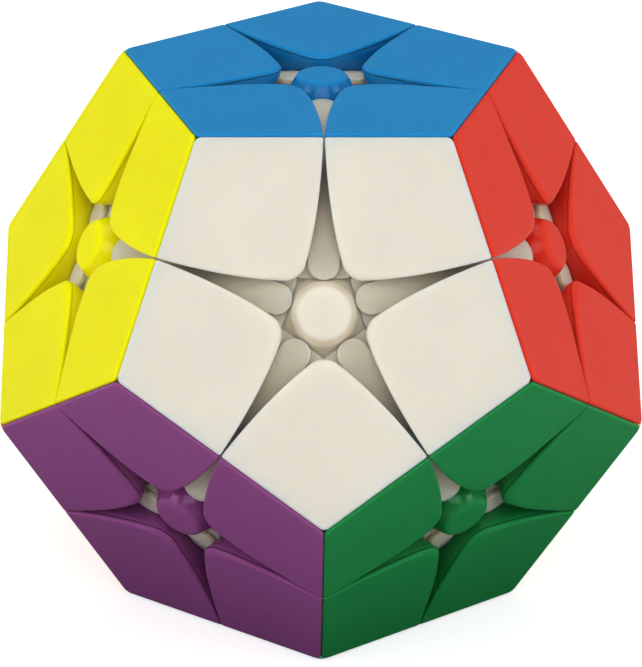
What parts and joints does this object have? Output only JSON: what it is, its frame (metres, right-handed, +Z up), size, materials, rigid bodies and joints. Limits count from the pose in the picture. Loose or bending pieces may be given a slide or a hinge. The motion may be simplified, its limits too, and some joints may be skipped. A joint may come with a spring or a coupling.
{
  "type": "dodecahedral twisty puzzle",
  "caption": "Dodecahedral twisty puzzle: kite-faced corner pieces round recessed petal-shaped inner edges and a round button on each face, hooked on an inner core so that layers turn.",
  "frame": {"origin": "centre of the light-blue face the puzzle stands on", "axes": "+Z up along the axis of the light-blue and blue faces, -Y toward the side of the white face, +X to the right seen from the white face"},
  "size_m": [0.0838, 0.088, 0.0713],
  "materials": {
    "body_plastic": "satin",
    "core_plastic": "matte",
    "blue_plastic": "satin",
    "white_plastic": "satin",
    "red_plastic": "satin",
    "pink_plastic": "satin",
    "lime_plastic": "satin",
    "yellow_plastic": "satin",
    "green_plastic": "satin",
    "cream_plastic": "satin",
    "grey_plastic": "satin",
    "orange_plastic": "satin",
    "purple_plastic": "satin",
    "sky_plastic": "satin"
  },
  "bodies": {
    "base_layer": {"corner_cream_sky_grey": "body_plastic", "corner_green_purple_sky": "body_plastic", "corner_green_sky_cream": "body_plastic", "corner_grey_sky_orange": "body_plastic", "corner_orange_sky_purple": "body_plastic", "centre_sky_with_edges": "sky_plastic"},
    "core_assembly": {"centre_blue": "blue_plastic", "centre_cream": "cream_plastic", "centre_green": "green_plastic", "centre_grey": "grey_plastic", "centre_orange": "orange_plastic", "centre_pink": "pink_plastic", "centre_purple": "purple_plastic", "centre_red": "red_plastic", "centre_yellow": "yellow_plastic", "core": "core_plastic", "corner_blue_red_pink": "body_plastic", "corner_pink_cream_grey": "body_plastic", "corner_red_cream_pink": "body_plastic", "corner_red_green_cream": "body_plastic", "corner_yellow_orange_purple": "body_plastic", "edge_blue_pink": "body_plastic", "edge_blue_red": "body_plastic", "edge_blue_yellow": "body_plastic", "edge_cream_grey": "body_plastic", "edge_green_cream": "body_plastic", "edge_green_purple": "body_plastic", "edge_grey_orange": "body_plastic", "edge_orange_purple": "body_plastic", "edge_pink_cream": "body_plastic", "edge_pink_grey": "body_plastic", "edge_red_cream": "body_plastic", "edge_red_green": "body_plastic", "edge_red_pink": "body_plastic", "edge_yellow_orange": "body_plastic", "edge_yellow_purple": "body_plastic"},
    "front_layer": {"centre_white": "white_plastic", "corner_blue_white_red": "body_plastic", "corner_blue_yellow_white": "body_plastic", "corner_white_green_red": "body_plastic", "corner_white_purple_green": "body_plastic", "corner_white_yellow_purple": "body_plastic", "edge_blue_white": "body_plastic", "edge_white_green": "body_plastic", "edge_white_purple": "body_plastic", "edge_white_red": "body_plastic", "edge_white_yellow": "body_plastic"},
    "rear_layer": {"centre_lime": "lime_plastic", "corner_blue_lime_yellow": "body_plastic", "corner_blue_pink_lime": "body_plastic", "corner_lime_grey_orange": "body_plastic", "corner_lime_orange_yellow": "body_plastic", "corner_pink_grey_lime": "body_plastic", "edge_blue_lime": "body_plastic", "edge_lime_grey": "body_plastic", "edge_lime_orange": "body_plastic", "edge_lime_yellow": "body_plastic", "edge_pink_lime": "body_plastic"}
  },
  "joints": [
    {"name": "base_turn", "type": "hinge", "parent": "base_layer", "child": "core_assembly", "pos_m": [0, 0, 0.03563], "axis": [0, 0, 1], "continuous": true},
    {"name": "front_turn", "type": "hinge", "parent": "core_assembly", "child": "front_layer", "pos_m": [0, 0, 0.03563], "axis": [0, -0.8944, 0.4472], "continuous": true},
    {"name": "rear_turn", "type": "hinge", "parent": "core_assembly", "child": "rear_layer", "pos_m": [0, 0, 0.03563], "axis": [-0.5257, 0.7236, 0.4472], "continuous": true}
  ]
}
